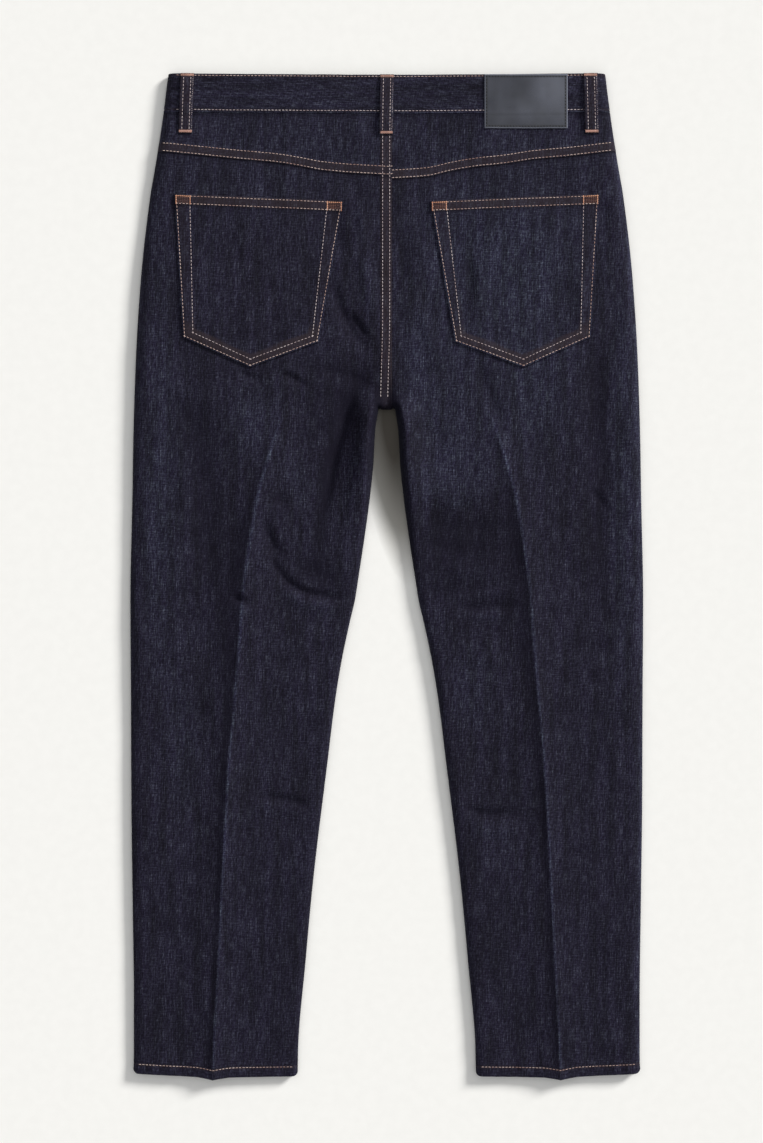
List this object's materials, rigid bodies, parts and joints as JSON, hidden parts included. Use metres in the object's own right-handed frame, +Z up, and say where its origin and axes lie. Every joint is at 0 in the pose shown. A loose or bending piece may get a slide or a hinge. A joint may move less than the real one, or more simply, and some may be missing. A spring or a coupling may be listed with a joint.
{
  "type": "carrot fit jeans, laid flat face down",
  "caption": "Carrot fit denim jeans laid face down, back showing, with patch pockets, pointed yoke, pressed creases and a bare leather patch. The cloth is hollow and rigid.",
  "frame": {"origin": "centre of the bounding box's lowest face, on the surface that the jeans lie on", "axes": "+Y from hem to waist, +X to the wearer's right, which is the right of the picture, +Z up out of the back of the jeans"},
  "size_m": [0.5258, 1.03, 0.0164],
  "materials": {
    "raw_denim": "dry raw indigo twill, nearly black, matt, with faint upright slubs",
    "patch_leather": "smooth slate leather with a low sheen",
    "button_copper": "antiqued copper, satin"
  },
  "bodies": {
    "root": {"back_panel_left": "raw_denim", "yoke_left": "raw_denim", "front_panel_left": "raw_denim", "pocket_facing_left": "raw_denim", "hem_left": "raw_denim", "back_pocket_left": "raw_denim", "loop_front_left": "raw_denim", "loop_back_left": "raw_denim", "back_panel_right": "raw_denim", "yoke_right": "raw_denim", "front_panel_right": "raw_denim", "pocket_facing_right": "raw_denim", "hem_right": "raw_denim", "back_pocket_right": "raw_denim", "loop_front_right": "raw_denim", "loop_back_right": "raw_denim", "loop_back_centre": "raw_denim", "waistband": "raw_denim", "patch": "patch_leather", "button": "button_copper"}
  },
  "joints": []
}
